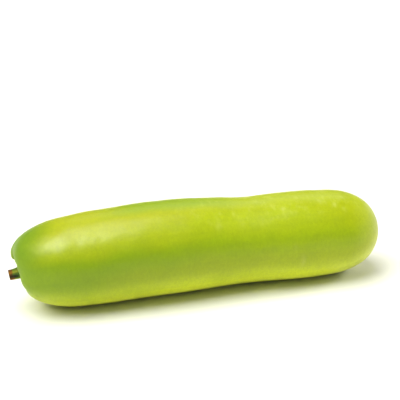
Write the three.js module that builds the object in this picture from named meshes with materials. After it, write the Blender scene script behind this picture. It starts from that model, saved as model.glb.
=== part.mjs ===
// A long bottle gourd as picked, lying on its side on a flat surface.
// Millimetres, +Z up. The stem end is towards -X and the blossom end towards +X.
// Two pieces: the fruit, one solid with a blind socket in its stem end, and the
// cut stub of the stem, whose root stands in that socket.

import * as THREE from 'three';

// ---- Driving dimensions --------------------------------------------------

const LENGTH = 340;

// The fruit at chosen distances along its length: its radius there, and where
// its centre line runs, sideways and above the surface that it lies on.
const STATIONS = [
  { along: 0, radius: 36.2, sideways: -5.3, height: 42 },
  { along: 45, radius: 40.5, sideways: -4.4, height: 40.8 },
  { along: 95, radius: 42.8, sideways: -1.9, height: 42.5 },
  { along: 150, radius: 42.9, sideways: 1.2, height: 42.6 },
  { along: 205, radius: 40.5, sideways: 2.5, height: 41.3 },
  { along: 255, radius: 41.4, sideways: 2, height: 41 },
  { along: 300, radius: 40.1, sideways: 2.4, height: 40.7 },
  { along: LENGTH, radius: 38.9, sideways: 2.2, height: 42.1 },
];

// The last stretch before the stem nods down towards the surface.
const NOD_LENGTH = 40;
const NOD_SLOPE = 0.32;

// Stem end: a blunt shoulder that ends in a crest round a shallow dimple.
const SHOULDER_LENGTH = 44;
const SHOULDER_BLUNTNESS = 2.24;
const CREST_RADIUS = 15;
const DIMPLE_DEPTH = 5;

// Blossom end: rounder than the stem end, with a small corky scar at its tip.
const BLOSSOM_LENGTH = 52;
const BLOSSOM_BLUNTNESS = 2.31;
const SCAR_RADIUS = 5;
const SCAR_RIM_HEIGHT = 0.5;
const SCAR_RIM_WIDTH = 1.3;
const SCAR_HOLLOW_DEPTH = 1;

// Five lobes stand round the stem. Angles turn from the far side over the top.
const LOBES = [
  { angle: 51, halfWidth: 30, lift: 2.7 },
  { angle: 130, halfWidth: 38, lift: 0.5 },
  { angle: 192, halfWidth: 38, lift: 1.1 },
  { angle: 252, halfWidth: 38, lift: 0.2 },
  { angle: 324, halfWidth: 38, lift: 0.7 },
];
const LOBE_REACH = 24;

// Long creases run out over the crest, and short ones fold the dimple's wall.
const LONG_CREASES = { angles: [73, 130, 215, 288, 2], depth: 1.9, reach: 11 };
const SHORT_CREASES = { angles: [38, 110, 181, 250, 326], depth: 1.2, reach: 5 };
const CREASE_WIDTH_AT_STEM = 1.5;
const CREASE_SPREAD = 0.12;

// Slow swellings of the rind: height, length along the fruit, waves round it,
// and the phase along and round.
const SWELLINGS = [
  { height: 0.3, length: 104, waves: 2, phaseAlong: 0.8, phaseRound: 0.6 },
  { height: 0.2, length: 63, waves: 3, phaseAlong: 2.2, phaseRound: 1.9 },
  { height: 0.12, length: 41, waves: 5, phaseAlong: 4.1, phaseRound: 0.3 },
];
const SWELLING_FADE = 50;
const UNDERSIDE_ANGLE = 270;
const UNDERSIDE_HALF_WIDTH = 60;

// Stem: five-angled, thicker towards its root, cut off nearly square.
const STEM_RADIUS = 4.6;
const STEM_FLARE = 1;
const STEM_ROOT_RADIUS = 5.9;
const STEM_BEYOND_CREST = 9.8;
const STEM_RIDGES = 5;
const STEM_RIDGE_HEIGHT = 0.4;
const STEM_RIDGE_ANGLE = 108;
const STEM_RISE = 0.012;
const CUT_SLANT = 0.1;
const CUT_SLANT_ANGLE = 240;
const CUT_HOLLOW_DEPTH = 0.5;
const CUT_BEVEL = 0.5;
const SOCKET_DEPTH = 4;
const SOCKET_GAP = 0.3;

// Facets
const FRUIT_SEGMENTS = 80;
const STEM_SEGMENTS = 40;
const DIMPLE_RINGS = 6;
const SHOULDER_RINGS = 14;
const BODY_RINGS = 17;
const BLOSSOM_RINGS = 13;
const SCAR_RING_RADII = [7.5, 6, 5, 4, 2.5];

// ---- Curves --------------------------------------------------------------

// The smooth curve through all the stations for one of their values.
function throughStations(key) {
  const at = STATIONS.map((station) => station.along);
  const value = STATIONS.map((station) => station[key]);
  const bend = naturalBends(at, value);
  return (along) => {
    let i = 0;
    while (i < at.length - 2 && along > at[i + 1]) {
      i += 1;
    }
    const width = at[i + 1] - at[i];
    const after = (along - at[i]) / width;
    const before = 1 - after;
    const curl = (before ** 3 - before) * bend[i] + (after ** 3 - after) * bend[i + 1];
    return before * value[i] + after * value[i + 1] + (curl * width * width) / 6;
  };
}

// Second derivatives of the cubic spline that is straight at both ends.
function naturalBends(at, value) {
  const count = at.length;
  const share = new Array(count).fill(0);
  const bend = new Array(count).fill(0);
  for (let i = 1; i < count - 1; i += 1) {
    const left = at[i] - at[i - 1];
    const right = at[i + 1] - at[i];
    const turn = (value[i + 1] - value[i]) / right - (value[i] - value[i - 1]) / left;
    const weight = 2 * (left + right) - left * share[i - 1];
    share[i] = right / weight;
    bend[i] = (6 * turn - left * bend[i - 1]) / weight;
  }
  for (let i = count - 2; i > 0; i -= 1) {
    bend[i] -= share[i] * bend[i + 1];
  }
  return bend;
}

const radiusAt = throughStations('radius');
const sidewaysAt = throughStations('sideways');
const heightAt = throughStations('height');

function insideCentre(along) {
  const nod = Math.max(1 - along / NOD_LENGTH, 0);
  const drop = (NOD_SLOPE * nod * nod * NOD_LENGTH) / 2;
  return new THREE.Vector3(along, sidewaysAt(along), heightAt(along) - drop);
}

function insideDirection(along) {
  const step = 0.5;
  return insideCentre(along + step).sub(insideCentre(along - step)).normalize();
}

// The centre line and its direction. Outside the fruit, where along is below 0,
// it goes on straight as the stem's, rising a little.
function centreAt(along) {
  if (along >= 0) {
    return insideCentre(along);
  }
  const centre = insideCentre(0).addScaledVector(insideDirection(0), along);
  centre.z += STEM_RISE * along * along;
  return centre;
}

function directionAt(along) {
  if (along >= 0) {
    return insideDirection(along);
  }
  const direction = insideDirection(0);
  direction.z += 2 * STEM_RISE * along;
  return direction.normalize();
}

// ---- Relief of the rind --------------------------------------------------

function angleBetween(a, b) {
  return ((((a - b + 180) % 360) + 360) % 360) - 180;
}

// A smooth hump, 1 at its centre and 0 from halfWidth on.
function hump(angle, centre, halfWidth) {
  const off = Math.abs(angleBetween(angle, centre)) / halfWidth;
  return off < 1 ? 0.5 + 0.5 * Math.cos(Math.PI * off) : 0;
}

function lobeLift(angle) {
  let lift = 0;
  for (const lobe of LOBES) {
    lift += lobe.lift * hump(angle, lobe.angle, lobe.halfWidth);
  }
  return lift;
}

function creaseDepth(angle, radius, creases) {
  const width = CREASE_WIDTH_AT_STEM + CREASE_SPREAD * (radius - STEM_RADIUS);
  const fade = Math.exp(-(((radius - STEM_ROOT_RADIUS) / creases.reach) ** 2));
  let depth = 0;
  for (const crease of creases.angles) {
    const off = THREE.MathUtils.degToRad(angleBetween(angle, crease)) * radius;
    depth += creases.depth * fade * Math.exp(-((off / width) ** 2));
  }
  return depth;
}

function swelling(angle, along) {
  const round = THREE.MathUtils.degToRad(angle);
  let height = 0;
  for (const wave of SWELLINGS) {
    const lengthwise = Math.sin((2 * Math.PI * along) / wave.length + wave.phaseAlong);
    height += wave.height * lengthwise * Math.cos(wave.waves * round + wave.phaseRound);
  }
  const fromEnds = Math.min(along, LENGTH - along) / SWELLING_FADE;
  const fade = THREE.MathUtils.smoothstep(fromEnds, 0, 1);
  return height * fade * (1 - hump(angle, UNDERSIDE_ANGLE, UNDERSIDE_HALF_WIDTH));
}

function scarRelief(radius) {
  const rim = SCAR_RIM_HEIGHT * Math.exp(-(((radius - SCAR_RADIUS) / SCAR_RIM_WIDTH) ** 2));
  return rim - SCAR_HOLLOW_DEPTH * Math.exp(-((radius / SCAR_RADIUS) ** 2));
}

// ---- Fruit ---------------------------------------------------------------

// The line that is turned about the centre line: from the middle of the socket's
// floor out to the crest, along the rind and in to the blossom scar. Each point
// carries how far the lobes lift it and which way its relief stands, along the
// centre line and away from it.
function fruitProfile() {
  const inwards = { lobes: 0, reliefAlong: 0, reliefOut: 0 };
  const socketRadius = STEM_ROOT_RADIUS + SOCKET_GAP;
  const floor = DIMPLE_DEPTH + SOCKET_DEPTH;
  const points = [
    { along: floor, radius: 0, ...inwards },
    { along: floor, radius: socketRadius, ...inwards },
    { along: floor - SOCKET_DEPTH / 3, radius: socketRadius, ...inwards },
  ];
  for (let i = 0; i < DIMPLE_RINGS; i += 1) {
    const inner = 1 - i / DIMPLE_RINGS;
    points.push({
      along: DIMPLE_DEPTH * (0.5 - 0.5 * Math.cos(Math.PI * inner)),
      radius: CREST_RADIUS + (socketRadius - CREST_RADIUS) * inner,
      lobes: Math.cos((Math.PI * inner) / 2) ** 2,
      reliefAlong: -1,
      reliefOut: 0,
    });
  }
  const rind = rindProfile();
  rind.forEach((point, i) => {
    const before = rind[Math.max(i - 1, 0)];
    const after = rind[Math.min(i + 1, rind.length - 1)];
    const run = after.along - before.along;
    const rise = after.radius - before.radius;
    const size = Math.hypot(run, rise);
    const isCrest = i === 0;
    const isTip = i === rind.length - 1;
    points.push({
      ...point,
      lobes: Math.exp(-((point.along / LOBE_REACH) ** 2)),
      reliefAlong: isTip ? 1 : isCrest ? -1 : -rise / size,
      reliefOut: isTip || isCrest ? 0 : run / size,
    });
  });
  return points;
}

function rindProfile() {
  const points = [];
  const shoulderPower = 2 / SHOULDER_BLUNTNESS;
  for (let i = 0; i <= SHOULDER_RINGS; i += 1) {
    const turn = ((Math.PI / 2) * i) / SHOULDER_RINGS;
    const cosine = Math.max(Math.cos(turn), 0);
    const along = SHOULDER_LENGTH * (1 - cosine ** shoulderPower);
    const out = Math.sin(turn) ** shoulderPower;
    points.push({ along, radius: CREST_RADIUS + (radiusAt(along) - CREST_RADIUS) * out });
  }
  const blossomStart = LENGTH - BLOSSOM_LENGTH;
  for (let i = 1; i < BODY_RINGS; i += 1) {
    const along = THREE.MathUtils.lerp(SHOULDER_LENGTH, blossomStart, i / BODY_RINGS);
    points.push({ along, radius: radiusAt(along) });
  }
  const outerRadii = [];
  const innermost = SCAR_RING_RADII[0];
  for (let i = 0; i < BLOSSOM_RINGS; i += 1) {
    const turn = ((Math.PI / 2) * i) / BLOSSOM_RINGS;
    const share = Math.cos(turn) ** (2 / BLOSSOM_BLUNTNESS);
    if (share * STATIONS[STATIONS.length - 1].radius > innermost + 1) {
      outerRadii.push(share);
    }
  }
  const tipRadius = radiusAt(LENGTH);
  const scarShares = SCAR_RING_RADII.map((radius) => radius / tipRadius);
  for (const share of [...outerRadii, ...scarShares, 0]) {
    const along = blossomStart + BLOSSOM_LENGTH * (1 - share ** BLOSSOM_BLUNTNESS) ** (1 / BLOSSOM_BLUNTNESS);
    points.push({ along, radius: radiusAt(along) * share });
  }
  return points;
}

function fruitRelief(point, angle) {
  if (point.along > LENGTH / 2) {
    const onTip = point.along > LENGTH - BLOSSOM_LENGTH / 2;
    return swelling(angle, point.along) + (onTip ? scarRelief(point.radius) : 0);
  }
  const creases =
    creaseDepth(angle, point.radius, LONG_CREASES) +
    creaseDepth(angle, point.radius, SHORT_CREASES);
  return swelling(angle, Math.max(point.along, 0)) - creases;
}

function placeFruit(point, angle) {
  const relief = fruitRelief(point, angle);
  return {
    along: point.along,
    shift: relief * point.reliefAlong - lobeLift(angle) * point.lobes,
    radius: point.radius + relief * point.reliefOut,
  };
}

// ---- Stem ----------------------------------------------------------------

// From the middle of the cut end along the side and in to the middle of the root.
function stemProfile() {
  const root = DIMPLE_DEPTH + SOCKET_DEPTH - SOCKET_GAP;
  const cut = -STEM_BEYOND_CREST;
  return [
    { along: cut + CUT_HOLLOW_DEPTH, radius: 0, ridges: 0, slant: 1 },
    { along: cut + CUT_HOLLOW_DEPTH, radius: 1.6, ridges: 0, slant: 1 },
    { along: cut, radius: 3, ridges: 0.7, slant: 1 },
    { along: cut, radius: STEM_RADIUS - CUT_BEVEL, ridges: 1, slant: 1 },
    { along: cut + CUT_BEVEL, radius: STEM_RADIUS, ridges: 1, slant: 1 },
    { along: cut + 3, radius: STEM_RADIUS, ridges: 1, slant: 0.6 },
    { along: cut + 6, radius: STEM_RADIUS + STEM_FLARE * 0.3, ridges: 1, slant: 0.15 },
    { along: -1, radius: STEM_RADIUS + STEM_FLARE * 0.6, ridges: 1, slant: 0 },
    { along: 1.5, radius: STEM_RADIUS + STEM_FLARE, ridges: 1, slant: 0 },
    { along: 3.2, radius: STEM_RADIUS + STEM_FLARE, ridges: 0.6, slant: 0 },
    { along: DIMPLE_DEPTH - 0.5, radius: STEM_ROOT_RADIUS - 0.1, ridges: 0.2, slant: 0 },
    { along: DIMPLE_DEPTH + 0.5, radius: STEM_ROOT_RADIUS, ridges: 0, slant: 0 },
    { along: root, radius: STEM_ROOT_RADIUS, ridges: 0, slant: 0 },
    { along: root, radius: 0, ridges: 0, slant: 0 },
  ];
}

function placeStem(point, angle) {
  const ridge = Math.cos(THREE.MathUtils.degToRad(STEM_RIDGES * (angle - STEM_RIDGE_ANGLE)));
  const radius = point.radius + point.ridges * STEM_RIDGE_HEIGHT * ridge;
  const towards = Math.cos(THREE.MathUtils.degToRad(angle - CUT_SLANT_ANGLE));
  return { along: point.along, shift: point.slant * CUT_SLANT * radius * towards, radius };
}

// ---- Solids --------------------------------------------------------------

// Turns a profile about the straight axis as a lathe does, then lays every
// vertex along the fruit's centre line and presses what would be below the
// surface flat on it.
function turnedSolid(profile, segments, place) {
  const outline = profile.map((point) => new THREE.Vector2(point.radius, point.along));
  const geometry = new THREE.LatheGeometry(outline, segments);
  const position = geometry.attributes.position;
  const up = new THREE.Vector3(0, 0, 1);
  for (let v = 0; v < position.count; v += 1) {
    const column = Math.floor(v / profile.length) % segments;
    const angle = (360 * column) / segments;
    const spot = place(profile[v % profile.length], angle);
    const direction = directionAt(spot.along);
    const aside = new THREE.Vector3().crossVectors(up, direction).normalize();
    const above = new THREE.Vector3().crossVectors(direction, aside);
    const turn = THREE.MathUtils.degToRad(angle);
    const vertex = centreAt(spot.along)
      .addScaledVector(direction, spot.shift)
      .addScaledVector(aside, spot.radius * Math.cos(turn))
      .addScaledVector(above, spot.radius * Math.sin(turn));
    position.setXYZ(v, vertex.x, vertex.y, Math.max(vertex.z, 0));
  }
  geometry.computeVertexNormals();
  return geometry;
}

function makeFruit() {
  const rind = new THREE.MeshStandardMaterial({ color: '#a6c62c', roughness: 0.42, metalness: 0 });
  const fruit = new THREE.Mesh(turnedSolid(fruitProfile(), FRUIT_SEGMENTS, placeFruit), rind);
  fruit.name = 'fruit';
  return fruit;
}

function makeStem() {
  const bark = new THREE.MeshStandardMaterial({ color: '#66713a', roughness: 0.75, metalness: 0 });
  const stem = new THREE.Mesh(turnedSolid(stemProfile(), STEM_SEGMENTS, placeStem), bark);
  stem.name = 'stem';
  return stem;
}

// The origin is on the surface, under the middle of the whole gourd.
const gourd = new THREE.Group();
gourd.add(makeFruit(), makeStem());
const middle = new THREE.Box3().setFromObject(gourd).getCenter(new THREE.Vector3());
gourd.position.set(-middle.x, -middle.y, 0);

export default gourd;
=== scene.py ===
"""A bottle gourd lying on a pale surface: its looks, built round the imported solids.

The fruit and the stem are rebuilt finely from the same named sizes as the solids, in
millimetres, and laid in the row frame, in metres. Places along the gourd count from its
stem end. Angles turn round it in degrees: 0 is the far side, 90 the top, 180 the near
side and 270 the underside.
"""

import math

import bpy
import numpy as np
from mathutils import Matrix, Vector


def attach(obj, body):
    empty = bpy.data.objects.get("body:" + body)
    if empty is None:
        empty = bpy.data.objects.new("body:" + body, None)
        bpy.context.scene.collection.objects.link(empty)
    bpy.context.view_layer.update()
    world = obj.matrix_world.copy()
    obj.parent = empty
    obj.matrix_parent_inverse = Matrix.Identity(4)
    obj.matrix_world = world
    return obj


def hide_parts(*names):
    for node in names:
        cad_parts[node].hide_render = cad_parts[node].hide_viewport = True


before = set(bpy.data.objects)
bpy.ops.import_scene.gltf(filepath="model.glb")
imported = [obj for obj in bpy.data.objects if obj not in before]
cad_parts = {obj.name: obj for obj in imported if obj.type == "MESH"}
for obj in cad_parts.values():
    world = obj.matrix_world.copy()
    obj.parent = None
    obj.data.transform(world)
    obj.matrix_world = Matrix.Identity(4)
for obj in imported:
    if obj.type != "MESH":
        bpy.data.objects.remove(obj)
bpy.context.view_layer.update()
scene = bpy.context.scene

MM = 0.001

# ---- Sizes of the fruit and the stem, as in the solids ---------------------

LENGTH = 340.0

# along, radius, and how far sideways and up the centre line runs
STATIONS = np.array([
    (0.0, 36.2, -5.3, 42.0),
    (45.0, 40.5, -4.4, 40.8),
    (95.0, 42.8, -1.9, 42.5),
    (150.0, 42.9, 1.2, 42.6),
    (205.0, 40.5, 2.5, 41.3),
    (255.0, 41.4, 2.0, 41.0),
    (300.0, 40.1, 2.4, 40.7),
    (LENGTH, 38.9, 2.2, 42.1),
])

NOD_LENGTH = 40.0
NOD_SLOPE = 0.32

SHOULDER_LENGTH = 44.0
SHOULDER_BLUNTNESS = 2.24
CREST_RADIUS = 15.0
DIMPLE_DEPTH = 5.0

BLOSSOM_LENGTH = 52.0
BLOSSOM_BLUNTNESS = 2.31
SCAR_RADIUS = 5.0
SCAR_RIM_HEIGHT = 0.5
SCAR_RIM_WIDTH = 1.3
SCAR_HOLLOW_DEPTH = 1.0

# angle, half width and lift of the lobes round the stem
LOBES = (
    (51.0, 30.0, 2.7),
    (130.0, 38.0, 0.5),
    (192.0, 38.0, 1.1),
    (252.0, 38.0, 0.2),
    (324.0, 38.0, 0.7),
)
LOBE_REACH = 24.0

# angles, depth and reach of the creases that run out from the stem
LONG_CREASES = ((73.0, 130.0, 215.0, 288.0, 2.0), 1.9, 11.0)
SHORT_CREASES = ((38.0, 110.0, 181.0, 250.0, 326.0), 1.2, 5.0)
CREASE_WIDTH_AT_STEM = 1.5
CREASE_SPREAD = 0.12

# height, length along, waves round and phases along and round of the rind's swellings
SWELLINGS = (
    (0.3, 104.0, 2, 0.8, 0.6),
    (0.2, 63.0, 3, 2.2, 1.9),
    (0.12, 41.0, 5, 4.1, 0.3),
)
SWELLING_FADE = 50.0
UNDERSIDE_ANGLE = 270.0
UNDERSIDE_HALF_WIDTH = 60.0

STEM_RADIUS = 4.6
STEM_FLARE = 1.0
STEM_ROOT_RADIUS = 5.9
STEM_BEYOND_CREST = 9.8
STEM_RIDGES = 5
STEM_RIDGE_HEIGHT = 0.4
STEM_RIDGE_ANGLE = 108.0
STEM_RISE = 0.012
CUT_SLANT = 0.1
CUT_SLANT_ANGLE = 240.0
CUT_HOLLOW_DEPTH = 0.5
CUT_BEVEL = 0.5
SOCKET_DEPTH = 4.0
SOCKET_GAP = 0.3

# What brings the middle of the solids' box over the origin
TO_ORIGIN = np.array([-165.0801, 0.4476, 0.0])

# ---- Fine detail that only the looks have ----------------------------------

FRUIT_COLUMNS = 280
DIMPLE_ROWS = 30
SHOULDER_ROWS = 72
BODY_ROWS = 154
BLOSSOM_ROWS = 86
STEM_COLUMNS = 180
STEM_ROWS = 110

# wavelength, height and seed of the rind's slight unevenness, which is made of plane
# waves of 0.7 to 1.5 times that length. It is sunk by its own height and a clearance,
# so that the rind stays within the solid.
UNEVENNESS = (
    (17.0, 0.07, 3),
    (8.0, 0.03, 5),
    (4.5, 0.010, 8),
)
UNEVENNESS_WAVES = 40
WAVELENGTH_SPREAD = (0.7, 1.5)
UNEVENNESS_CLEARANCE = 0.02

# waves round, depth, reach and phase of the wrinkles that run out from the stem, and
# how far they wander, in radians of their wave
WRINKLES = (
    (13, 0.16, 9.0, 0.4),
    (23, 0.12, 7.0, 2.1),
    (37, 0.07, 5.0, 4.4),
)
WRINKLE_BEND = 0.5

# along, angle, half length, half width and strength of the pale patches: those high on
# the near side, from 112 to 136 degrees, are painted highlight broken up by the rind,
# and the others rubbed wear
SCUFFS_AND_GLINTS = (
    (253.0, 194.0, 2.4, 6.5, 0.42),
    (245.0, 171.0, 1.8, 3.5, 0.30),
    (297.0, 126.0, 3.2, 2.4, 0.30),
    (289.0, 119.0, 3.6, 3.5, 0.30),
    (275.0, 112.0, 3.6, 6.0, 0.36),
    (239.0, 124.0, 4.2, 6.0, 0.36),
    (216.0, 135.0, 3.0, 5.0, 0.22),
    (196.0, 133.0, 3.2, 6.0, 0.20),
    (174.0, 136.0, 4.0, 5.0, 0.22),
    (86.0, 330.0, 2.4, 5.0, 0.5),
    (140.0, 24.0, 3.2, 2.4, 0.4),
    (208.0, 350.0, 2.0, 6.0, 0.5),
    (262.0, 48.0, 2.8, 3.0, 0.45),
)

# height, count round, twist in radians per millimetre and phase of the stem's fibres,
# which are sunk by their own height
STEM_FIBRES = (
    (0.10, 19, 0.05, 1.3),
    (0.07, 31, -0.08, 0.0),
)

# The pits in the cut face, with their twist and spacing in radians per millimetre of
# radius. The face ends a margin beyond the inner edge of the bevel, and is this deep.
PIT_DEPTH = 0.12
PITS_ROUND = 9
PIT_TWIST = 2.0
PIT_SPACING = 2.1
FACE_MARGIN = 0.05
FACE_DEPTH = 1.0

# angle and half width of the stem's ripe streaks and of its dark stained ones
RIPE_STREAKS = ((133.0, 30.0), (238.0, 24.0), (312.0, 30.0), (28.0, 30.0))
DARK_STREAKS = ((184.0, 34.0), (274.0, 22.0), (70.0, 18.0), (350.0, 20.0))

# The scar mark, a distance, where the scar is nowhere near
FAR_OFF = 99.0

# ---- Curves ----------------------------------------------------------------


def natural_bends(at, value):
    """Second derivatives of the cubic spline that is straight at both ends."""
    count = len(at)
    matrix = np.eye(count)
    turns = np.zeros(count)
    for i in range(1, count - 1):
        left = at[i] - at[i - 1]
        right = at[i + 1] - at[i]
        matrix[i, i - 1:i + 2] = (left, 2 * (left + right), right)
        turn = (value[i + 1] - value[i]) / right - (value[i] - value[i - 1]) / left
        turns[i] = 6 * turn
    return np.linalg.solve(matrix, turns)


def through_stations(column):
    """The smooth curve through all the stations for one of their values."""
    at = STATIONS[:, 0]
    value = STATIONS[:, column]
    bend = natural_bends(at, value)

    def curve(along):
        i = np.clip(np.searchsorted(at, along) - 1, 0, len(at) - 2)
        width = at[i + 1] - at[i]
        after = (along - at[i]) / width
        before = 1 - after
        curl = (before ** 3 - before) * bend[i] + (after ** 3 - after) * bend[i + 1]
        return before * value[i] + after * value[i + 1] + curl * width * width / 6

    return curve


radius_at = through_stations(1)
sideways_at = through_stations(2)
height_at = through_stations(3)


def unit(vectors):
    return vectors / np.linalg.norm(vectors, axis=-1, keepdims=True)


def inside_centre(along):
    """The centre line within the fruit, which nods down towards the stem."""
    nod = np.maximum(1 - along / NOD_LENGTH, 0)
    drop = NOD_SLOPE * nod * nod * NOD_LENGTH / 2
    return np.stack([along, sideways_at(along), height_at(along) - drop], axis=-1)


def inside_direction(along):
    step = 0.5
    return unit(inside_centre(along + step) - inside_centre(along - step))


def centre_line(along):
    """The centre line and its direction. Where along is below 0, it is the stem's."""
    inside = np.maximum(along, 0)
    outside = np.minimum(along, 0)
    centre = inside_centre(inside) + inside_direction(inside) * outside[..., None]
    centre[..., 2] += STEM_RISE * outside ** 2
    direction = inside_direction(inside)
    direction[..., 2] += 2 * STEM_RISE * outside
    return centre, unit(direction)


# ---- Relief of the rind ----------------------------------------------------


def angle_between(a, b):
    return (a - b + 180) % 360 - 180


def hump(angle, centre, half_width):
    """A smooth hump, 1 at its centre and 0 from its half width on."""
    off = np.abs(angle_between(angle, centre)) / half_width
    return np.where(off < 1, 0.5 + 0.5 * np.cos(np.pi * np.minimum(off, 1)), 0)


def lobe_lift(angle):
    return sum(
        lift * hump(angle, centre, half_width) for centre, half_width, lift in LOBES)


def crease_depth(angle, radius, creases):
    angles, deepest, reach = creases
    width = CREASE_WIDTH_AT_STEM + CREASE_SPREAD * (radius - STEM_RADIUS)
    fade = np.exp(-((radius - STEM_ROOT_RADIUS) / reach) ** 2)
    depth = 0
    for crease in angles:
        off = np.radians(angle_between(angle, crease)) * radius
        depth = depth + deepest * fade * np.exp(-(off / width) ** 2)
    return depth


def swelling(angle, along):
    around = np.radians(angle)
    height = 0
    for size, length, waves, phase_along, phase_round in SWELLINGS:
        lengthwise = np.sin(2 * np.pi * along / length + phase_along)
        height = height + size * lengthwise * np.cos(waves * around + phase_round)
    inwards = np.clip(np.minimum(along, LENGTH - along) / SWELLING_FADE, 0, 1)
    return height * inwards * inwards * (3 - 2 * inwards)


def scar_relief(radius):
    rim = SCAR_RIM_HEIGHT * np.exp(-((radius - SCAR_RADIUS) / SCAR_RIM_WIDTH) ** 2)
    return rim - SCAR_HOLLOW_DEPTH * np.exp(-(radius / SCAR_RADIUS) ** 2)


def soft_noise(place, wavelength, seed):
    """Smooth unevenness, mostly from -1 to 1: plane waves in seeded directions."""
    draw = np.random.default_rng(seed)
    ways = unit(draw.normal(size=(UNEVENNESS_WAVES, 3)))
    lengths = wavelength * draw.uniform(*WAVELENGTH_SPREAD, UNEVENNESS_WAVES)
    phases = draw.uniform(0, 2 * np.pi, UNEVENNESS_WAVES)
    total = 0
    for way, length, phase in zip(ways, lengths, phases):
        total = total + np.sin(place @ way * (2 * np.pi / length) + phase)
    return total / math.sqrt(UNEVENNESS_WAVES)


def wrinkles(angle, radius):
    around = np.radians(angle)
    depth = 0
    for waves, deepest, reach, phase in WRINKLES:
        bend = WRINKLE_BEND * np.sin(2 * around + phase)
        fade = np.exp(-((radius - STEM_ROOT_RADIUS) / reach) ** 2)
        wave = 0.5 + 0.5 * np.cos(waves * around + phase + bend)
        depth = depth + deepest * fade * wave
    return depth


def scuff_and_glint_mark(angle, along):
    """How strongly the rind is made pale, in soft oval spots: rubbed wear, and painted
    highlight high on the near side.
    """
    rubbed = 0
    for centre, turn, half_length, half_width, strength in SCUFFS_AND_GLINTS:
        lengthwise = (along - centre) / half_length
        crosswise = np.radians(angle_between(angle, turn)) * radius_at(centre)
        crosswise = crosswise / half_width
        rubbed = rubbed + strength * np.exp(-lengthwise ** 2 - crosswise ** 2)
    return rubbed


# ---- Meshes ----------------------------------------------------------------


def joined_ends(grid):
    """The points of a grid of rows whose first and last rows are one point each."""
    inner = grid[1:-1].reshape((-1,) + grid.shape[2:])
    return np.concatenate([grid[0, :1], inner, grid[-1, :1]])


def closed_faces(rows, columns):
    """The faces between those points."""
    faces = []
    last = (rows - 2) * columns + 1
    for j in range(columns):
        k = (j + 1) % columns
        faces.append((0, 1 + k, 1 + j))
        faces.append((last, last - columns + j, last - columns + k))
    for i in range(rows - 3):
        row = 1 + i * columns
        for j in range(columns):
            k = (j + 1) % columns
            faces.append((row + j, row + k, row + columns + k, row + columns + j))
    return faces


def turned_mesh(name, along, radius, shift, angle, marks):
    """A closed mesh of rows along the centre line and columns round it. It carries the
    given marks and each point's place on the straightened gourd, in millimetres."""
    shape = (len(along), angle.shape[1])
    centre, direction = centre_line(along[:, 0])
    aside = unit(np.cross((0, 0, 1), direction))
    above = np.cross(direction, aside)
    shift = np.broadcast_to(shift, shape)
    turn = np.radians(angle)
    across = radius * np.cos(turn)
    upward = radius * np.sin(turn)
    points = centre[:, None] + shift[..., None] * direction[:, None]
    points = points + across[..., None] * aside[:, None]
    points = points + upward[..., None] * above[:, None]
    points[..., 2] = np.maximum(points[..., 2], 0)
    laid = (joined_ends(points) + TO_ORIGIN) * MM
    straight = joined_ends(np.stack([along + shift, across, upward], axis=-1))

    mesh = bpy.data.meshes.new(name)
    mesh.from_pydata(laid.tolist(), [], closed_faces(*shape))
    place = mesh.attributes.new("straight", "FLOAT_VECTOR", "POINT")
    place.data.foreach_set("vector", straight.astype(np.float32).ravel())
    for mark, values in marks.items():
        values = joined_ends(np.broadcast_to(values, shape))
        attribute = mesh.attributes.new(mark, "FLOAT", "POINT")
        attribute.data.foreach_set("value", values.astype(np.float32).ravel())
    mesh.polygons.foreach_set("use_smooth", [True] * len(mesh.polygons))
    piece = bpy.data.objects.new(name, mesh)
    scene.collection.objects.link(piece)
    return piece


def fruit_profile():
    """Rows from the middle of the socket's floor to the middle of the scar: along,
    radius, how far the lobes lift it, how far its relief stands along and outwards,
    and its share of the unevenness."""
    socket_radius = STEM_ROOT_RADIUS + SOCKET_GAP
    floor = DIMPLE_DEPTH + SOCKET_DEPTH
    socket = [
        (floor, 0, 0, 0, 0, 0),
        (floor, socket_radius, 0, 0, 0, 0),
        (floor - SOCKET_DEPTH / 3, socket_radius, 0, 0, 0, 0),
    ]
    inner = np.linspace(1, 0, DIMPLE_ROWS, endpoint=False)
    dimple = np.stack([
        DIMPLE_DEPTH * (0.5 - 0.5 * np.cos(np.pi * inner)),
        CREST_RADIUS + (socket_radius - CREST_RADIUS) * inner,
        np.cos(np.pi * inner / 2) ** 2,
        -np.ones_like(inner),
        np.zeros_like(inner),
        1 - inner,
    ], axis=1)
    turn = np.linspace(0, np.pi / 2, SHOULDER_ROWS)
    power = 2 / SHOULDER_BLUNTNESS
    shoulder_along = SHOULDER_LENGTH * (1 - np.maximum(np.cos(turn), 0) ** power)
    widening = (radius_at(shoulder_along) - CREST_RADIUS) * np.sin(turn) ** power
    blossom_start = LENGTH - BLOSSOM_LENGTH
    body_along = np.linspace(SHOULDER_LENGTH, blossom_start, BODY_ROWS)[1:]
    turn = np.linspace(0, np.pi / 2, BLOSSOM_ROWS)[1:]
    share = np.cos(turn) ** (2 / BLOSSOM_BLUNTNESS)
    share[-1] = 0
    rounding = (1 - share ** BLOSSOM_BLUNTNESS) ** (1 / BLOSSOM_BLUNTNESS)
    blossom_along = blossom_start + BLOSSOM_LENGTH * rounding
    along = np.concatenate([shoulder_along, body_along, blossom_along])
    blossom_radius = radius_at(blossom_along) * share
    radius = np.concatenate(
        [CREST_RADIUS + widening, radius_at(body_along), blossom_radius])
    run = np.gradient(along)
    rise = np.gradient(radius)
    size = np.hypot(run, rise)
    lobes = np.exp(-(along / LOBE_REACH) ** 2)
    rind = np.stack(
        [along, radius, lobes, -rise / size, run / size, np.ones_like(along)], axis=1)
    rind[0, 3:5] = (-1, 0)
    rind[-1, 3:5] = (1, 0)
    return np.concatenate([socket, dimple, rind])


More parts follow.
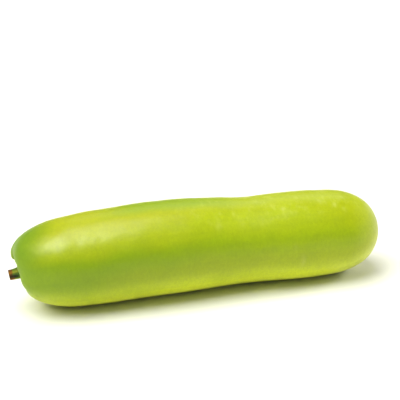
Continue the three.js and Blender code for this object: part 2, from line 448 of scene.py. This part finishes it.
def make_fruit():
    profile = fruit_profile()
    along, radius, lobes, relief_along, relief_out, uneven = (
        profile[:, i:i + 1] for i in range(6))
    angle = np.arange(FRUIT_COLUMNS)[None, :] * 360 / FRUIT_COLUMNS
    turn = np.radians(angle)
    straight = np.stack(np.broadcast_arrays(
        along, radius * np.cos(turn), radius * np.sin(turn)), axis=-1)
    off_ground = 1 - hump(angle, UNDERSIDE_ANGLE, UNDERSIDE_HALF_WIDTH)
    stem_half = along < LENGTH / 2
    on_tip = along > LENGTH - BLOSSOM_LENGTH / 2
    near_stem = stem_half & (relief_along < 0)
    long_creases = crease_depth(angle, radius, LONG_CREASES)
    short_creases = crease_depth(angle, radius, SHORT_CREASES)
    creases = np.where(stem_half, long_creases + short_creases, 0)
    fine_folds = np.where(near_stem, wrinkles(angle, radius), 0)
    roughness = -sum(height for _, height, _ in UNEVENNESS) - UNEVENNESS_CLEARANCE
    for wavelength, height, seed in UNEVENNESS:
        noise = soft_noise(straight, wavelength, seed)
        roughness = roughness + height * np.clip(noise, -1, 1)
    relief = swelling(angle, np.maximum(along, 0)) * off_ground - creases - fine_folds
    relief = relief + roughness * uneven * off_ground
    relief = relief + np.where(on_tip, scar_relief(radius), 0)
    shift = relief * relief_along - lobe_lift(angle) * lobes
    out = radius + relief * relief_out
    marks = {
        "crease": np.clip(creases / LONG_CREASES[1] + fine_folds, 0, 1),
        "sky": relief_out * np.sin(turn),
        "scar": np.where(on_tip, radius, FAR_OFF),
        "scuff_and_glint": scuff_and_glint_mark(angle, along),
    }
    return turned_mesh("gourd_rind", along, out, shift, angle, marks)


def stem_profile():
    """Rows from the middle of the cut face along the side to the middle of the root:
    along, radius, share of the ridges' height and share of the slant."""
    root = DIMPLE_DEPTH + SOCKET_DEPTH - SOCKET_GAP
    cut = -STEM_BEYOND_CREST
    points = np.array([
        # the cut face, from its hollow to its bevel
        (cut + CUT_HOLLOW_DEPTH, 0, 0, 1),
        (cut + CUT_HOLLOW_DEPTH, 1.6, 0, 1),
        (cut, 3, 0.7, 1),
        (cut, STEM_RADIUS - CUT_BEVEL, 1, 1),
        # the side, which widens towards the dimple
        (cut + CUT_BEVEL, STEM_RADIUS, 1, 1),
        (cut + 3, STEM_RADIUS, 1, 0.6),
        (cut + 6, STEM_RADIUS + STEM_FLARE * 0.3, 1, 0.15),
        (-1, STEM_RADIUS + STEM_FLARE * 0.6, 1, 0),
        (1.5, STEM_RADIUS + STEM_FLARE, 1, 0),
        (3.2, STEM_RADIUS + STEM_FLARE, 0.6, 0),
        # the collar at the bottom of the dimple, and the root in its socket
        (DIMPLE_DEPTH - 0.5, STEM_ROOT_RADIUS + 0.5, 0.2, 0),
        (DIMPLE_DEPTH + 0.5, STEM_ROOT_RADIUS, 0, 0),
        (root, STEM_ROOT_RADIUS, 0, 0),
        (root, 0, 0, 0),
    ])
    steps = np.hypot(np.diff(points[:, 0]), np.diff(points[:, 1]))
    reach = np.concatenate([[0], np.cumsum(steps)])
    at = np.linspace(0, reach[-1], STEM_ROWS)
    return np.stack([np.interp(at, reach, points[:, i]) for i in range(4)], axis=1)


def streak_mark(angle, streaks):
    return sum(hump(angle, centre, half_width) for centre, half_width in streaks)


def make_stem():
    profile = stem_profile()
    along, radius, ridges, slant = (profile[:, i:i + 1] for i in range(4))
    angle = np.arange(STEM_COLUMNS)[None, :] * 360 / STEM_COLUMNS
    turn = np.radians(angle)
    around = np.radians(angle - STEM_RIDGE_ANGLE)
    ridge = STEM_RIDGE_HEIGHT * np.cos(STEM_RIDGES * around)
    for height, count, twist, phase in STEM_FIBRES:
        ridge = ridge + height * (np.cos(count * turn + twist * along + phase) - 1)
    out = radius + ridges * ridge
    shift = slant * CUT_SLANT * out * np.cos(np.radians(angle - CUT_SLANT_ANGLE))
    from_cut = along + STEM_BEYOND_CREST
    face = (radius < STEM_RADIUS - CUT_BEVEL + FACE_MARGIN) & (from_cut < FACE_DEPTH)
    pits = np.cos(PITS_ROUND * turn + PIT_TWIST * radius) * np.sin(PIT_SPACING * radius)
    shift = shift + np.where(face, PIT_DEPTH * (1 + pits), 0)
    marks = {
        "from_cut": from_cut,
        "face": face.astype(float),
        "around": radius,
        "ripe": streak_mark(angle, RIPE_STREAKS),
        "dark": streak_mark(angle, DARK_STREAKS),
    }
    return turned_mesh("stem_stub", along, out, shift, angle, marks)


# ---- Materials -------------------------------------------------------------


class Shader:
    """A Principled material whose nodes are added one call at a time."""

    def __init__(self, name):
        self.material = bpy.data.materials.new(name)
        self.material.use_nodes = True
        self.tree = self.material.node_tree
        self.surface = self.tree.nodes["Principled BSDF"]

    def put(self, socket, value):
        """Links a socket to another, or gives it a number or colour."""
        if isinstance(value, bpy.types.NodeSocket):
            self.tree.links.new(value, socket)
        elif value is not None:
            socket.default_value = value

    def node(self, kind, *values, **settings):
        """A new node with these settings and these values in its first inputs."""
        made = self.tree.nodes.new(kind)
        for key, value in settings.items():
            setattr(made, key, value)
        for socket, value in zip(made.inputs, values):
            self.put(socket, value)
        return made

    def attribute(self, name):
        return self.node("ShaderNodeAttribute", attribute_name=name)

    def mark(self, name):
        """One of the marks that the mesh carries, as a number."""
        return self.attribute(name).outputs["Fac"]

    def math(self, operation, *values):
        return self.node("ShaderNodeMath", *values, operation=operation).outputs[0]

    def noise(self, vector, wavelength, detail, roughness=0.5, density=None):
        """Noise about 0.5 with lumps about a wavelength apart. On each axis they lie
        as many times closer as its density says."""
        if density:
            scaled = self.node(
                "ShaderNodeVectorMath", vector, density, operation="MULTIPLY")
            vector = scaled.outputs[0]
        made = self.node("ShaderNodeTexNoise")
        self.put(made.inputs["Vector"], vector)
        self.put(made.inputs["Scale"], 1 / wavelength)
        self.put(made.inputs["Detail"], detail)
        self.put(made.inputs["Roughness"], roughness)
        return made.outputs[0]

    def vary(self, colour, noise, strength):
        """The colour made lighter and darker by noise about 0.5."""
        gain = self.node(
            "ShaderNodeMapRange", noise, 0.0, 1.0, 1 - strength / 2, 1 + strength / 2)
        gain.clamp = False
        scaled = self.node("ShaderNodeVectorMath", colour, operation="SCALE")
        self.put(scaled.inputs["Scale"], gain.outputs[0])
        return scaled.outputs[0]

    def ramp(self, value, low, high, start=0.0, end=1.0):
        """A smooth step: start up to low, and end beyond high, which may be less."""
        made = self.node("ShaderNodeMapRange", value, low, high, start, end)
        made.interpolation_type = "SMOOTHSTEP"
        return made.outputs[0]

    def mix(self, share, first, second):
        made = self.node("ShaderNodeMix", data_type="RGBA")
        self.put(made.inputs[0], share)
        for socket, value in ((made.inputs[6], first), (made.inputs[7], second)):
            if isinstance(value, tuple):
                value = (*value, 1.0)
            self.put(socket, value)
        return made.outputs[2]

    def share(self, fields, most, *steps):
        """The most, times each step. A step is a field's name alone, or with the values
        of that field where a smooth step over it is 0 and where it is 1."""
        share = most
        for step in steps:
            if isinstance(step, tuple):
                name, nothing, full = step
                value = self.ramp(fields[name], nothing, full)
            else:
                value = fields[step]
            share = self.math("MULTIPLY", share, value)
        return share

    def layered(self, colour, layers, fields):
        """The colour with layers over it, each a colour or its field's name, the most
        that it covers, and the steps of its share."""
        for over, most, *steps in layers:
            over = fields.get(over, over)
            colour = self.mix(self.share(fields, most, *steps), colour, over)
        return colour

    def bump(self, height, distance, normal=None):
        """The normal, bent by a height from 0 to 1 over a distance in metres."""
        made = self.node("ShaderNodeBump")
        self.put(made.inputs["Distance"], distance)
        self.put(made.inputs["Height"], height)
        self.put(made.inputs["Normal"], normal)
        return made.outputs[0]

    def finish(self, **inputs):
        """The material, once its surface has these inputs."""
        for name, value in inputs.items():
            self.put(self.surface.inputs[name.replace("_", " ")], value)
        return self.material


# Fields of the rind: "along" and "from_stem" are millimetres from the stem end, "cork"
# roughly those from the middle of the scar, and "sky", "wobble", "crown" and "low_side"
# run from -1 facing down to 1 facing up. "crease" and the field of pale glints and wear
# are from 0 to 1, the top's and the belly's colours, both painted light, are colours,
# and the noises are about 0.5.

# wavelength in millimetres, detail, roughness and density of the rind's noises
RIND_NOISES = {
    "drift": (45.0, 1.0),
    "streaks": (7.0, 3.0, 0.5, (0.03, 1.0, 1.0)),
    "girth": (2.4, 3.0, 0.6, (1.0, 0.55, 0.55)),
    "clouds": (22.0, 2.0),
    "grain": (1.3, 1.0),
    "specks": (6.0, 2.5, 0.55, (1.0, 0.7, 0.7)),
    "folds": (1.8, 2.0),
    "peel": (5.0, 2.0),
    "pores": (1.1, 2.0),
    "polish": (6.0, 3.0),
}

# How far the noises move the edges in the other fields
WOBBLE_DRIFT = 0.4
CROWN_DRIFT = 0.05
LOW_SIDE_DRIFT = 0.15
CORK_FOLDS = 4.0

# How much further along the green of the stem end reaches on top, and how much higher
# the belly's pale colour, painted bounce light, reaches at the blossom end
# The green's further reach on top is partly painted shade.
GREEN_REACH = (-9.0, ("sky", 0.75, 0.98))
BELLY_RISE = (-0.25, ("along", 300.0, 340.0))

# Painted light and shade by which way the rind faces: the yellower top colours and the
# greener flank colours below them are lit and shaded copies of one green. The flank is
# greener towards the stem end.
YELLOWISH = (0.365, 0.485, 0.006)
GREENISH = (0.253, 0.385, 0.008)
SHADE_LAYERS = (
    (GREENISH, 1.0, ("along", 290.0, 30.0)),
)

LIT_TOP = (0.375, 0.430, 0.004)
LIT_TOP_BY_STEM = (0.375, 0.405, 0.004)
LIT_TOP_LAYERS = (
    (LIT_TOP_BY_STEM, 1.0, ("along", 190.0, 90.0)),
)

# The belly colours are painted light: the underside is made pale and yellow, most at
# the bottom and at the blossom end, to stand in for light bounced and reflected up from
# the floor.
BELLY = (0.85, 0.95, 0.035)
GREEN_BELLY = (0.64, 0.72, 0.025)
LOW_BELLY = (0.90, 0.97, 0.12)
PALE_BELLY = (0.79, 0.84, 0.13)
BELLY_LAYERS = (
    (GREEN_BELLY, 1.0, ("along", 150.0, 20.0)),
    (LOW_BELLY, 0.7, ("sky", -0.55, -0.85)),
    (PALE_BELLY, 1.0, ("along", 270.0, 330.0)),
)

LIT_BAND = (0.425, 0.515, 0.006)
CROWN_SHADE = (0.20, 0.33, 0.006)
GREEN = (0.157, 0.270, 0.010)
TIP = (0.53, 0.585, 0.045)
OLIVE = (0.58, 0.54, 0.012)
RIND_LAYERS = (
    # the top's colour over the flank's: painted light
    ("sunny", 1.0, ("wobble", 0.3, 0.85)),
    # a lighter band on the upper flanks, fading out towards the tip: painted light
    (LIT_BAND, 0.5, ("wobble", 0.35, 0.65), ("wobble", 0.92, 0.72),
     ("along", 330.0, 230.0)),
    # a darker green streak along the top, between 65 and 215 mm: painted shade, as cast
    # by a gourd lying behind it
    (CROWN_SHADE, 0.68, ("along", 65.0, 110.0), ("along", 215.0, 160.0),
     ("crown", 0.93, 0.995)),
    # the green of the stem end, its own colour, made stronger on top partly as painted
    # shade
    (GREEN, 1.0, ("from_stem", 31.0, 4.0), ("sky", -0.2, 0.7)),
    # the paler blossom end: partly its own colour and partly painted light from the
    # right
    (TIP, 0.85, ("along", 297.0, 342.0)),
    # a warmer band below the middle, fading in from 35 to 100 mm: painted warm bounce
    # light
    (OLIVE, 0.2, ("wobble", 0.20, -0.12), ("along", 35.0, 100.0)),
    # the belly's colours over the underside: painted light bounced up from the floor
    ("belly", 1.0, ("low_side", -0.08, -0.94)),
    # darker green at the very bottom, where the gourd rests on the floor: painted
    # contact shade
    (GREEN, 0.85, ("sky", -0.93, -0.99)),
    (GREEN, 0.12, ("streaks", 0.45, 0.75)),
    (GREEN, 0.10, ("clouds", 0.48, 0.7)),
    (GREEN, 0.15, ("grain", 0.35, 0.7)),
)
GIRTH_CONTRAST = 0.26

# The pale marks' colour: rubbed wear, and painted glints and sheen.
GLINT_AND_WEAR_PALE = (0.53, 0.58, 0.095)
CREASE_SHADE = (0.09, 0.20, 0.012)
SCAR = (0.40, 0.31, 0.12)
SCAR_MIDDLE = (0.17, 0.11, 0.045)
# Pale specks and a faint haze on top of the blossom half: painted glints and sheen, a
# highlight broken up by the rind.
UPPER_BLOSSOM_HALF = (("sky", 0.55, 0.92), ("along", 110.0, 190.0))
GLINT_SPECKS = (0.28, ("specks", 0.50, 0.74), *UPPER_BLOSSOM_HALF)
GLINT_SHEEN_HAZE = (0.08, ("sky", 0.90, 0.98), *UPPER_BLOSSOM_HALF)
WEAR_SHADE_AND_GLINT_LAYERS = (
    # pale marks: rubbed wear and painted glints
    (GLINT_AND_WEAR_PALE, 1.0, "bloom"),
    # dark green in the creases round the stem: painted shade
    (CREASE_SHADE, 0.75, ("crease", 0.1, 1.0)),
    (GREEN, 0.35, ("cork", 9.5, 5.0)),
    (SCAR, 0.75, ("cork", 5.8, 4.2)),
    (SCAR_MIDDLE, 0.8, ("cork", 3.8, 2.4)),
)

# Smooth steps over the specks and the polish: from, to, and the values there
SCUFF_RAGGEDNESS = (0.30, 0.65, 0.3, 1.1)
POLISH_ROUGHNESS = (0.3, 0.7, 0.30, 0.37)
STEM_END_ROUGHNESS = (0.13, ("along", 20.0, 4.0))
PEEL_BUMP = 0.0001
PORE_BUMP = 0.00002


def rind_material():
    rind = Shader("rind_skin")
    place = rind.attribute("straight").outputs["Vector"]
    fields = {name: rind.noise(place, *values) for name, values in RIND_NOISES.items()}
    along = rind.node("ShaderNodeSeparateXYZ", place).outputs[0]
    sky = rind.mark("sky")
    drift = rind.math("SUBTRACT", fields["drift"], 0.5)
    fields.update(along=along, sky=sky, crease=rind.mark("crease"))
    fields["wobble"] = rind.math("MULTIPLY_ADD", drift, WOBBLE_DRIFT, sky)
    fields["crown"] = rind.math("MULTIPLY_ADD", drift, CROWN_DRIFT, sky)
    fields["from_stem"] = rind.math("ADD", along, rind.share(fields, *GREEN_REACH))
    low_side = rind.math("ADD", sky, rind.share(fields, *BELLY_RISE))
    fields["low_side"] = rind.math("MULTIPLY_ADD", drift, LOW_SIDE_DRIFT, low_side)
    fields["cork"] = rind.math(
        "MULTIPLY_ADD", fields["folds"], CORK_FOLDS, rind.mark("scar"))
    # pale specks and haze are painted glints; the scuffs are rubbed wear and painted
    # highlight
    bloom = rind.math(
        "ADD", rind.share(fields, *GLINT_SPECKS), rind.share(fields, *GLINT_SHEEN_HAZE))
    ragged = rind.ramp(fields["specks"], *SCUFF_RAGGEDNESS)
    fields["bloom"] = rind.math("MULTIPLY_ADD", rind.mark("scuff_and_glint"), ragged, bloom)

    fields["sunny"] = rind.layered(LIT_TOP, LIT_TOP_LAYERS, fields)
    fields["belly"] = rind.layered(BELLY, BELLY_LAYERS, fields)
    colour = rind.layered(YELLOWISH, SHADE_LAYERS, fields)
    colour = rind.layered(colour, RIND_LAYERS, fields)
    colour = rind.vary(colour, fields["girth"], GIRTH_CONTRAST)
    colour = rind.layered(colour, WEAR_SHADE_AND_GLINT_LAYERS, fields)

    normal = rind.bump(fields["peel"], PEEL_BUMP)
    normal = rind.bump(fields["pores"], PORE_BUMP, normal)
    polish = rind.ramp(fields["polish"], *POLISH_ROUGHNESS)
    roughness = rind.math("ADD", polish, rind.share(fields, *STEM_END_ROUGHNESS))
    return rind.finish(
        Base_Color=colour, Roughness=roughness, Normal=normal,
        Specular_IOR_Level=0.28, Subsurface_Weight=0.06,
        Subsurface_Radius=(1.0, 1.2, 0.3), Subsurface_Scale=0.003)


# Fields of the stem: "from_cut" is millimetres from the cut, "freshness" that less the
# blotches, and "around" millimetres from the middle. "dried" and "pith" are colours,
# the noises are about 0.5, and the others are from 0 to 1.

# wavelength in millimetres, detail, roughness and density of the stem's noises
STEM_NOISES = {
    "fibres": (0.8, 4.0, 0.6, (0.08, 1.0, 1.0)),
    "blotches": (2.2, 3.0, 0.6),
}
BLOTCH_REACH = -5.0
FIBRE_CONTRAST = 1.1
BLOTCH_CONTRAST = 1.4
FIBRE_BUMP = 0.0003

STEM_GREEN = (0.085, 0.16, 0.016)
STEM_RIPE = (0.26, 0.29, 0.025)
STEM_DEEP = (0.045, 0.085, 0.016)
FRESH_LAYERS = (
    (STEM_RIPE, 1.0, "ripe"),
    (STEM_DEEP, 1.0, "dark"),
)

STEM_BROWN = (0.10, 0.045, 0.012)
STEM_RUST = (0.36, 0.150, 0.018)
STEM_STAIN = (0.022, 0.022, 0.012)
DRIED_LAYERS = (
    (STEM_RUST, 1.0, "ripe"),
    (STEM_STAIN, 0.7, "dark"),
)

PITH = (0.30, 0.17, 0.07)
BARK = (0.07, 0.03, 0.012)
PITH_LAYERS = (
    (PITH, 1.0, ("blotches", 0.35, 0.65)),
    (BARK, 1.0, ("around", 2.6, 3.6)),
)

STEM_LAYERS = (
    (STEM_STAIN, 1.0, "dark", ("freshness", 6.5, 3.0)),
    ("dried", 1.0, ("freshness", 2.2, 0.6)),
    ("pith", 1.0, "face"),
)


def stem_material():
    stem = Shader("stem_fibre")
    place = stem.attribute("straight").outputs["Vector"]
    fields = {name: stem.noise(place, *values) for name, values in STEM_NOISES.items()}
    for name in ("from_cut", "around", "ripe", "dark", "face"):
        fields[name] = stem.mark(name)
    fields["freshness"] = stem.math(
        "MULTIPLY_ADD", fields["blotches"], BLOTCH_REACH, fields["from_cut"])

    dried = stem.layered(STEM_BROWN, DRIED_LAYERS, fields)
    fields["dried"] = stem.vary(dried, fields["blotches"], BLOTCH_CONTRAST)
    fields["pith"] = stem.layered(STEM_BROWN, PITH_LAYERS, fields)
    colour = stem.layered(STEM_GREEN, FRESH_LAYERS, fields)
    colour = stem.vary(colour, fields["fibres"], FIBRE_CONTRAST)
    colour = stem.layered(colour, STEM_LAYERS, fields)
    normal = stem.bump(fields["fibres"], FIBRE_BUMP)
    return stem.finish(
        Base_Color=colour, Roughness=0.7, Normal=normal, Specular_IOR_Level=0.12)


# ---- The pieces ------------------------------------------------------------

fruit = make_fruit()
fruit.data.materials.append(rind_material())
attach(fruit, "root")
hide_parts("fruit")

stub = make_stem()
stub.data.materials.append(stem_material())
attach(stub, "root")
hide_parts("stem")

# ---- Stage, light and camera -----------------------------------------------

FLOOR_HALF = 6.0
FLOOR_COLOUR = (0.82, 0.815, 0.74, 1.0)
WHITE = (1.0, 1.0, 1.0, 1.0)
WORLD_FILL = 0.12
WORLD_SEEN = 1.1

CAMERA_AZIMUTH = -14.5
CAMERA_ELEVATION = 21.0
CAMERA_DISTANCE = 0.9
CAMERA_AIM = Vector((0.0003, 0.0004, 0.0858))
CAMERA_SENSOR = 36.0
FOCAL_LENGTH = 89.4


def make_floor():
    mesh = bpy.data.meshes.new("floor")
    low, high = -FLOOR_HALF, FLOOR_HALF
    corners = [(low, low, 0), (high, low, 0), (high, high, 0), (low, high, 0)]
    mesh.from_pydata(corners, [], [(0, 1, 2, 3)])
    floor = bpy.data.objects.new("floor", mesh)
    scene.collection.objects.link(floor)
    paint = Shader("floor_paper")
    mesh.materials.append(paint.finish(
        Base_Color=FLOOR_COLOUR, Roughness=0.9, Specular_IOR_Level=0.1))


def make_world():
    """A white world that fills little and looks bright to the camera."""
    world = bpy.data.worlds.new("studio")
    scene.world = world
    world.use_nodes = True
    tree = world.node_tree
    fill = tree.nodes["Background"]
    seen = tree.nodes.new("ShaderNodeBackground")
    for background, strength in ((fill, WORLD_FILL), (seen, WORLD_SEEN)):
        background.inputs["Color"].default_value = WHITE
        background.inputs["Strength"].default_value = strength
    path = tree.nodes.new("ShaderNodeLightPath")
    choice = tree.nodes.new("ShaderNodeMixShader")
    sources = (path.outputs["Is Camera Ray"], fill.outputs[0], seen.outputs[0])
    for source, socket in zip(sources, choice.inputs):
        tree.links.new(source, socket)
    tree.links.new(choice.outputs[0], tree.nodes["World Output"].inputs[0])


def towards_side(azimuth, elevation):
    """From the gourd towards the given side; azimuth 0 is the front, 90 the right."""
    turn = math.radians(azimuth)
    lift = math.radians(elevation)
    level = math.cos(lift)
    return Vector((math.sin(turn) * level, -math.cos(turn) * level, math.sin(lift)))


def softbox(
        name, azimuth, elevation, distance, size, radiance, fills=True, shines=True):
    """A rectangular lamp of one radiance that faces the gourd. One that doesn't fill
    makes only a highlight, and one that doesn't shine makes none."""
    lamp = bpy.data.lights.new(name, "AREA")
    lamp.shape = "RECTANGLE"
    lamp.size, lamp.size_y = size
    lamp.energy = radiance * math.pi * size[0] * size[1]
    holder = bpy.data.objects.new(name, lamp)
    towards = towards_side(azimuth, elevation)
    holder.location = towards * distance
    holder.rotation_euler = towards.to_track_quat("Z", "Y").to_euler()
    holder.visible_diffuse = fills
    holder.visible_glossy = shines
    scene.collection.objects.link(holder)


def make_camera():
    back = towards_side(CAMERA_AZIMUTH, CAMERA_ELEVATION)
    data = bpy.data.cameras.new("camera")
    data.sensor_width = CAMERA_SENSOR
    data.lens = FOCAL_LENGTH
    camera = bpy.data.objects.new("camera", data)
    camera.location = CAMERA_AIM + back * CAMERA_DISTANCE
    camera.rotation_euler = back.to_track_quat("Z", "Y").to_euler()
    scene.collection.objects.link(camera)
    scene.camera = camera


scene.view_settings.view_transform = "Standard"
make_floor()
make_world()
# azimuth, elevation, distance, size and radiance
softbox("key", -82, 65, 12.0, (9.5, 12.5), 6.8, shines=False)
softbox("window", -43, 66, 12.0, (7.2, 6.4), 11.6, fills=False)
softbox("ceiling", -116, 85.5, 0.85, (0.4, 0.36), 5.6, fills=False)
softbox("right", 95, 31, 6.0, (1.9, 1.9), 13.0, shines=False)
softbox("low", 95, 9, 6.0, (8.0, 2.0), 0.8)
softbox("back", 156, 43, 6.0, (4.2, 2.6), 1.2)
softbox("rear", -168, 13, 6.0, (4.5, 4.5), 1.1, shines=False)
make_camera()
